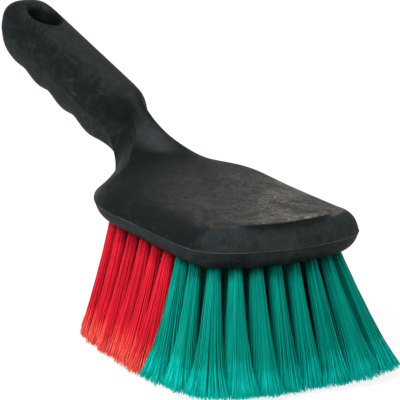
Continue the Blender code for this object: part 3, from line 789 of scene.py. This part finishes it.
def tuft_bristles(root, count, radius, spread, bend, rise, rng):
    """A tuft's bristles and their split ends, as (paths, radii, shares of the length, shades)."""
    centre, tip = np.array(root), np.array(tip_place(root))
    outward = (tip - centre) / max(np.linalg.norm(tip - centre), MM)
    angle, disc = root_disc(count, rng)
    tips = tip_disc(angle, disc, outward, rng)
    # Each bristle's shade is random, and lower on the tuft's sides as painted shade between the tufts
    aside = disc @ (-outward[1], outward[0])
    shade = rng.uniform(0, 1, count) * (1 - SIDE_SHADE_SHARE * aside ** 2)
    start = disc * (radius - FINE_RADIUS)
    end = inside_box(tip + tips * spread) - tip
    tip_z = np.maximum(rise + rng.triangular(*RAGGED_TIPS, count), LEAST_TIP_HEIGHT)
    sway = rng.normal(0, SWAY, (count, 2))
    shares, widths = zip(*WIDENING_SHARES)
    lengthways = np.outer(outward, outward)
    sideways = np.eye(2) - lengthways

    def paths(t):
        lean = t - 4 * bend * t * (1 - t)
        flat = centre + (tip - centre) * lean[:, None]
        even, wide = np.maximum(t, 0.0), np.interp(t, shares, widths)
        for part, share in ((lengthways, even), (sideways, wide)):
            flat = flat + (start @ part)[:, None] * (1 - share)[:, None]
            flat = flat + (end @ part)[:, None] * share[:, None]
        flat = flat + sway[:, None] * (4 * even * (1 - t))[:, None]
        height = FACE_Z + (tip_z[:, None] - FACE_Z) * t
        return np.concatenate([flat, height[..., None]], 2)

    stem = np.array(STEM_SHARES)
    radii = np.tile(np.array(STEM_RADIUS_SHARES) * FINE_RADIUS, (count, 1))
    return [(paths(stem), radii, stem, shade)] + split_ends(paths(np.array(SPLIT_SHARES)), shade, rng)


def bristle_mesh(name, parts):
    """One mesh of thin three-sided bristles, with the share of the length and the shade of each in a
    UV map: random, and lower on a tuft's sides for painted shade between the tufts."""
    coords, faces, uvs = [], [], []
    offset = 0
    for paths, radii, along, shade in parts:
        count, rings = paths.shape[:2]
        turn = np.arange(count) * SECTION_TURN
        corners = [turn + side * math.tau / BRISTLE_SIDES for side in range(BRISTLE_SIDES)]
        ring = np.stack([np.stack([np.cos(a), np.sin(a), np.zeros(count)], 1) for a in corners], 1)
        verts = paths[:, :, None, :] + ring[:, None, :, :] * radii[:, :, None, None]
        coords.append(verts.reshape(-1, 3))
        uv = np.zeros((count, rings, BRISTLE_SIDES, 2))
        uv[..., 0] = shade[:, None, None]
        uv[..., 1] = along[None, :, None]
        uvs.append(uv.reshape(-1, 2))
        corner_count = count * rings * BRISTLE_SIDES
        index = offset + np.arange(corner_count).reshape(count, rings, BRISTLE_SIDES)
        for side in range(BRISTLE_SIDES):
            after = (side + 1) % BRISTLE_SIDES
            quads = np.stack([index[:, :-1, side], index[:, 1:, side],
                              index[:, 1:, after], index[:, :-1, after]], -1)
            faces += quads.reshape(-1, 4).tolist()
        faces += index[:, 0, :].tolist()
        faces += index[:, -1, ::-1].tolist()
        offset += corner_count
    mesh = bpy.data.meshes.new(name)
    mesh.from_pydata(np.concatenate(coords).tolist(), [], faces)
    layer = mesh.uv_layers.new(name="strand")
    loop_verts = np.empty(len(mesh.loops), dtype=np.int32)
    mesh.loops.foreach_get("vertex_index", loop_verts)
    layer.data.foreach_set("uv", np.concatenate(uvs)[loop_verts].ravel())
    mesh.shade_smooth()
    obj = bpy.data.objects.new(name, mesh)
    bpy.context.scene.collection.objects.link(obj)
    return obj


# Materials

class Nodes:
    """A small helper for the node tree of a material or of the world."""

    def __init__(self, owner):
        owner.use_nodes = True
        self.tree = owner.node_tree

    def add(self, kind, settings=None, **inputs):
        node = self.tree.nodes.new(kind)
        for key, value in (settings or {}).items():
            setattr(node, key, value)
        return self.set(node, **inputs)

    def set(self, node, **inputs):
        for key, value in inputs.items():
            self.feed(node.inputs[key.replace("_", " ")], value)
        return node

    def feed(self, socket, value):
        if isinstance(value, bpy.types.NodeSocket):
            self.tree.links.new(value, socket)
        else:
            socket.default_value = (*value, 1.0) if socket.type == "RGBA" else value

    def maths(self, operation, *values):
        node = self.tree.nodes.new("ShaderNodeMath")
        node.operation = operation
        for socket, value in zip(node.inputs, values):
            self.feed(socket, value)
        return node.outputs[0]

    def product(self, first, *others):
        for other in others:
            first = self.maths("MULTIPLY", first, other)
        return first

    def between(self, share, low, high):
        """The value that a share of the way from low to high gives."""
        return self.maths("MULTIPLY_ADD", share, high - low, low)

    def span(self, value, start, end):
        """How far a value is on the way from start to end, as a share."""
        return self.maths("MULTIPLY_ADD", value, 1 / (end - start), -start / (end - start))

    def largest(self, first, *others):
        for other in others:
            first = self.maths("MAXIMUM", first, other)
        return first

    def ramp(self, value, stops):
        """The colour at a value, from stops as (value, colour)."""
        node = self.tree.nodes.new("ShaderNodeValToRGB")
        elements = node.color_ramp.elements
        while len(elements) < len(stops):
            elements.new(0.5)
        for element, (place, colour) in zip(elements, stops):
            element.position = place
            element.color = (*colour, 1.0)
        self.feed(node.inputs[0], value)
        return node.outputs[0]

    def level(self, value, shares):
        """The share at a value, from a table of (value, share)."""
        return self.ramp(value, [(place, (share, share, share)) for place, share in shares])

    def blend(self, factor, first, second, mode="MIX"):
        """Two colours mixed. They are the node's inputs 6 and 7, because others have their names."""
        node = self.tree.nodes.new("ShaderNodeMix")
        node.data_type = "RGBA"
        node.blend_type = mode
        for number, value in ((0, factor), (6, first), (7, second)):
            self.feed(node.inputs[number], value)
        return node.outputs[2]

    def place(self):
        return self.add("ShaderNodeTexCoord").outputs["Object"]

    def parts(self, vector):
        return self.add("ShaderNodeSeparateXYZ", Vector=vector).outputs

    def attribute(self, name):
        return self.add("ShaderNodeAttribute", {"attribute_name": name}).outputs["Fac"]

    def noise(self, place, settings, output="Fac"):
        scale, detail, distortion, roughness = settings
        return self.add("ShaderNodeTexNoise", Vector=place, Scale=scale, Detail=detail,
                        Roughness=roughness, Distortion=distortion).outputs[output]

    def distance(self, place, centre, radii, turn=(0.0, 0.0, 0.0)):
        """Distance from a centre as a share of a radius along each axis."""
        near = self.add("ShaderNodeMapping", {"vector_type": "TEXTURE"}, Vector=place,
                        Location=centre, Rotation=turn, Scale=radii)
        return self.add("ShaderNodeVectorMath", {"operation": "LENGTH"},
                        Vector=near.outputs["Vector"]).outputs["Value"]

    def light_path(self):
        return self.add("ShaderNodeLightPath").outputs

    def seen(self):
        """1 where the camera sees a place itself, in a mirror or through glass."""
        path = self.light_path()
        return self.largest(*(path[f"Is {kind} Ray"] for kind in ("Camera", "Glossy", "Transmission")))


class BlockNodes(Nodes):
    """The block's node tree, with what its functions share."""

    def __init__(self, material):
        super().__init__(material)
        self.here = self.place()
        self.point = self.parts(self.here)
        self.normal = self.parts(self.add("ShaderNodeNewGeometry").outputs["Normal"])
        self.below = self.attribute("below_lip")
        self.dust = self.level(self.noise(self.here, DUST_NOISE), DUST_SHARES)
        self.patchy = self.between(self.dust, *PATCHY_SHARES)


def block_bloom(m):
    """Pale bloom on the head's top, stronger to the front, in clouds with fine dark veins."""
    flat = m.product(m.level(m.normal["Z"], FLAT_SHARES), m.level(m.below, ABOVE_LIP_SHARES))
    across = m.maths("ADD", m.point["X"], m.point["Y"])
    forward = m.level(m.span(across, *BLOOM_SPAN), FORWARD_SHARES)
    cloud = m.level(m.noise(m.here, CLOUD_NOISE), CLOUD_SHARES)
    swirl = m.level(m.noise(m.here, SWIRL_NOISE), SWIRL_SHARES)
    warp = m.blend(WARP_SHARE, m.here, m.noise(m.here, WARP_NOISE, "Color"), "LINEAR_LIGHT")
    cell = m.add("ShaderNodeTexVoronoi", {"feature": "DISTANCE_TO_EDGE"}, Vector=warp,
                 Scale=VEIN_SCALE)
    vein = m.level(cell.outputs["Distance"], VEIN_SHARES)
    return m.product(flat, forward, cloud, vein, m.between(swirl, *SWIRL_MARK_SHARES))


def block_scuffs(m):
    """Long, dusty scratches that run along the brush."""
    turned = m.add("ShaderNodeMapping", Vector=m.here, Rotation=SCUFF_TURN, Scale=SCUFF_SCALES)
    scuff = m.noise(turned.outputs["Vector"], SCUFF_NOISE)
    return m.product(m.level(scuff, SCUFF_SHARES), m.dust, SCUFF_STRENGTH_SHARE)


def block_plastic(m):
    """Black with dust and flecks, painted light on ends and undersides and painted shade under the lip.
    """
    # Painted light: faces turned endways and downwards come out lighter
    endways_light = m.product(m.maths("ABSOLUTE", m.normal["X"]), m.between(m.normal["Z"], *ENDWAYS_LIGHT_SHARES))
    upward = m.level(m.span(m.normal["Z"], -1.0, 1.0), FACING_LIGHT_SHARES)
    flecks = m.level(m.noise(m.here, FLECK_NOISE), FLECK_SHARES)
    mottle = m.maths("MULTIPLY_ADD", m.dust, DUST_LIGHT_SHARE, m.between(flecks, *FLECK_LIGHT_SHARES))
    # Painted shade in the groove under the top's front edge and on the wall below it
    lip_painted_shade = m.level(m.below, LIP_SHADE_SHARES)
    light = m.maths("ADD", m.maths("ADD", endways_light, upward), m.maths("SUBTRACT", mottle, lip_painted_shade))
    return m.blend(m.level(light, LIGHT_SHARES), PLASTIC_SHADED, PLASTIC_LIT_AND_DUSTY)


def add_neck_painted_light(m, base):
    """Painted sheen on the neck's crest, and painted shade in the hollows round its foot and beside it.
    """
    top = m.level(m.normal["Z"], NECK_TOP_SHARES)
    # Painted sheen on the crest
    crest = m.level(m.distance(m.here, NECK_CREST, NECK_CREST_RADII), CREST_SHARES)
    base = m.blend(m.product(crest, top, m.patchy), base, PAINTED_SHEEN_COLOUR)
    # Painted shade in the ring round the neck's foot
    ring = m.level(m.distance(m.here, NECK_TOE, NECK_TOE_RADII), RING_SHARES)
    ahead = m.level(m.span(m.point["X"], *RING_SPAN), RING_AHEAD_SHARES)
    base = m.blend(m.product(ring, ahead, top, m.patchy), base, PAINTED_SHADE_COLOUR)
    # Painted shade in the saddles beside the neck
    mirrored = m.add("ShaderNodeCombineXYZ", X=m.point["X"], Y=m.maths("ABSOLUTE", m.point["Y"]),
                     Z=m.point["Z"]).outputs["Vector"]
    saddle = m.level(m.distance(mirrored, SADDLE, SADDLE_RADII), SADDLE_SHARES)
    return m.blend(m.product(saddle, m.patchy), base, PAINTED_SHADE_COLOUR)


def add_parting_highlight(m, base):
    # A painted highlight along the ridge of the parting line, broken here and there
    breaks = m.level(m.noise(m.here, BREAK_NOISE), BREAK_SHARES)
    line = m.product(m.level(m.attribute("seam"), LINE_SHARES), breaks)
    return m.blend(line, base, PARTING_HIGHLIGHT_COLOUR)


def add_bore_painted_shade(m, base):
    # Painted shade inside the hang hole
    radii = (HANG_HOLE_STRETCH, 1.0, ENDLESS)
    away = m.distance(m.here, hole_centre(), radii, (0.0, GRIP_RISE_ANGLE, 0.0))
    inside = m.level(m.maths("DIVIDE", away, HANG_HOLE_MOUTH_RADIUS), BORE_SHARES)
    return m.blend(inside, base, PAINTED_SHADE_COLOUR)


def block_material():
    """Black plastic with a warm grey bloom on the head's top, fine marks, painted light and shade, and
    a painted highlight on the parting line.
    """
    material = bpy.data.materials.new("moulded_black")
    m = BlockNodes(material)
    bloom = block_bloom(m)
    base = m.blend(block_scuffs(m), block_plastic(m), SCUFF_COLOUR)
    base = m.blend(bloom, base, BLOOM_COLOUR)
    base = add_neck_painted_light(m, base)
    base = add_parting_highlight(m, base)
    base = add_bore_painted_shade(m, base)
    rough = m.between(m.dust, *BLOCK_ROUGHNESS_SHARES)
    rough = m.maths("ADD", rough, m.product(bloom, BLOOM_ROUGHNESS_SHARE))
    lumps = m.noise(m.here, LUMP_NOISE)
    height = m.maths("MULTIPLY_ADD", m.noise(m.here, GRAIN_NOISE), GRAIN_SHARE, lumps)
    bump = m.add("ShaderNodeBump", Strength=BUMP_STRENGTH, Distance=BUMP_DISTANCE, Height=height)
    m.set(m.tree.nodes["Principled BSDF"], Base_Color=base, Roughness=rough,
          Specular_IOR_Level=BRUSH_SPECULAR, Normal=bump.outputs["Normal"])
    return material


def bristle_material(name, shaded_root, body, light, pale):
    """Coloured filament with painted shade at the root and on its tuft's sides, paler where its end is
    split.
    """
    material = bpy.data.materials.new(name)
    m = Nodes(material)
    strand = m.parts(m.add("ShaderNodeUVMap", {"uv_map": "strand"}).outputs["UV"])
    shade, along = strand["X"], strand["Y"]
    place = m.place()
    blotch = m.noise(place, BLOTCH_NOISE)
    patch = m.noise(place, PATCH_NOISE)
    shifted = m.maths("MULTIPLY_ADD", m.maths("SUBTRACT", shade, 0.5), SHADE_SHIFT_SHARE, along)
    shifted = m.maths("MULTIPLY_ADD", m.maths("SUBTRACT", blotch, 0.5), BLOTCH_SHIFT_SHARE, shifted)
    # The colour at the root is painted shade under the block
    colour = m.ramp(shifted, list(zip(COLOUR_CHANGE_SHARES, (shaded_root, body, body, light, pale))))
    # Darker strands, at random and on a tuft's sides as painted shade, less towards the tips
    dark = tuple(DARK_STRAND_SHARE * channel for channel in body)
    fading = m.level(along, FADING_SHARES)
    colour = m.blend(m.product(m.level(shade, DARK_STRAND_SHARES), fading), colour, dark)
    colour = m.blend(m.level(shade, LIGHT_STRAND_SHARES), colour, light)
    colour = m.blend(m.product(m.level(patch, DARK_PATCH_SHARES), fading), colour, dark)
    m.set(m.tree.nodes["Principled BSDF"], Base_Color=colour,
          Roughness=m.level(along, BRISTLE_ROUGHNESS_SHARES), Specular_IOR_Level=BRUSH_SPECULAR)
    return material


def floor_material():
    """Pale, and mostly as white as the background to the camera, so that its shadows are faint."""
    material = bpy.data.materials.new("pale_floor")
    m = Nodes(material)
    shader = m.set(m.tree.nodes["Principled BSDF"], Base_Color=FLOOR_COLOUR, Roughness=FLOOR_ROUGHNESS,
                   Specular_IOR_Level=FLOOR_SPECULAR)
    white = m.add("ShaderNodeEmission", Color=WHITE, Strength=1.0)
    mixed = m.tree.nodes.new("ShaderNodeMixShader")
    m.feed(mixed.inputs[0], m.product(m.seen(), FLOOR_WHITE_SHARE))
    m.feed(mixed.inputs[1], shader.outputs[0])
    m.feed(mixed.inputs[2], white.outputs[0])
    m.set(m.tree.nodes["Material Output"], Surface=mixed.outputs[0])
    return material


# The brush

rng = np.random.default_rng(SEED)
edge_roots = edge_tuft_places()
edge_tips = [tip_place(root) for root in edge_roots]
rows = row_places()


def add_block():
    tufts = [(root, TUFT_RADIUS) for root in edge_roots]
    tufts += [(Vector((x, y)), ROW_TUFT_RADIUS) for x, ys in rows for y in ys]
    block = make_block(tufts)
    block.data.materials.append(block_material())
    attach(block, "root")
    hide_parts("handle_block")


def add_bristles(node, name, groups):
    """One piece of bristles for a node, from what tuft_bristles takes for each of its tufts."""
    parts = []
    for group in groups:
        parts += tuft_bristles(*group, rng)
    colour = node.rsplit("_", 1)[1]
    piece = bristle_mesh(name, parts)
    piece.data.materials.append(colours[colour])
    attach(piece, "root")
    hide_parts(node)


def edge_group(k):
    """What tuft_bristles takes for an edge tuft. Its tips overlap the next tuft's, and the tufts
    ahead bend less."""
    root, tip = edge_roots[k], edge_tips[k]
    after = edge_tips[(k + 1) % len(edge_tips)]
    pitch = ((tip - edge_tips[k - 1]).length + (tip - after).length) / 2
    bend = BEND_SHARE * (1 - STRAIGHTER_AHEAD_SHARE * max((tip - root).normalized().x, 0.0))
    return root, FINE_COUNT, TUFT_RADIUS, TIP_OVERLAP_SHARE * pitch, bend, tip_rise(root)


def row_groups(number):
    """The same for each tuft of a row."""
    x, ys = rows[number]
    return [(Vector((x, y)), INNER_COUNT, ROW_TUFT_RADIUS, INNER_TIP_SPREAD, 0.0, 0.0) for y in ys]


add_block()
colours = {colour: bristle_material(f"{colour}_bristle", *tones)
           for colour, tones in BRISTLE_COLOURS.items()}
for name in sorted(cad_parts):
    if name.startswith("edge_tuft"):
        k = int(name.split("_")[2]) - 1
        add_bristles(name, name.replace("edge_tuft", "edge_bristles"), [edge_group(k)])
    elif name.startswith("tuft_row"):
        k = int(name.split("_")[2]) - 1
        add_bristles(name, name.replace("tuft_row", "row_bristles"), row_groups(k))


# Floor, lights and camera

def add_floor():
    bm = bmesh.new()
    bmesh.ops.create_grid(bm, x_segments=1, y_segments=1, size=FLOOR_HALF_WIDTH)
    floor = new_piece("floor", bm)
    floor.data.materials.append(floor_material())


def add_world():
    """A white background that lights the brush a little less than it shows."""
    world = bpy.data.worlds.new("studio")
    bpy.context.scene.world = world
    w = Nodes(world)
    strength = w.add("ShaderNodeMapRange", To_Min=WORLD_LIGHT, To_Max=WORLD_SEEN)
    w.feed(strength.inputs["Value"], w.seen())
    w.set(w.tree.nodes["Background"], Color=WHITE, Strength=strength.outputs["Result"])


def direction(azimuth, elevation):
    """Towards a viewer or a light at so much round from the near side and up, in radians."""
    level = math.cos(elevation)
    return Vector((math.sin(azimuth) * level, -math.cos(azimuth) * level, math.sin(elevation)))


def add_light(name, azimuth, elevation, distance, size, power):
    light = bpy.data.lights.new(name, "AREA")
    light.shape = "DISK"
    light.size = size
    light.energy = power
    obj = bpy.data.objects.new(name, light)
    bpy.context.scene.collection.objects.link(obj)
    back = direction(math.radians(azimuth), math.radians(elevation))
    obj.location = Vector(LIGHT_TARGET) + back * distance
    obj.rotation_euler = (-back).to_track_quat("-Z", "Y").to_euler()


def add_camera():
    """A camera with a long lens, as fitted to the photograph."""
    back = direction(CAMERA_AZIMUTH, CAMERA_ELEVATION)
    right = Vector((math.cos(CAMERA_AZIMUTH), math.sin(CAMERA_AZIMUTH), 0.0))
    up = back.cross(right)
    turned_right = right * math.cos(CAMERA_ROLL) + up * math.sin(CAMERA_ROLL)
    turned_up = up * math.cos(CAMERA_ROLL) - right * math.sin(CAMERA_ROLL)
    data = bpy.data.cameras.new("camera")
    data.sensor_width = SENSOR_WIDTH
    data.lens = CAMERA_LENS
    data.clip_end = CAMERA_CLIP_END
    camera = bpy.data.objects.new("camera", data)
    bpy.context.scene.collection.objects.link(camera)
    place = turned_right * CAMERA_PLACE[0] + turned_up * CAMERA_PLACE[1] + back * CAMERA_PLACE[2]
    rotation = Matrix((turned_right, turned_up, back)).transposed().to_4x4()
    camera.matrix_world = Matrix.Translation(place + Vector((0.0, 0.0, FACE_Z))) @ rotation
    bpy.context.scene.camera = camera


add_floor()
bpy.context.scene.view_settings.view_transform = "Standard"
add_world()
for light in LIGHTS:
    add_light(*light)
add_camera()
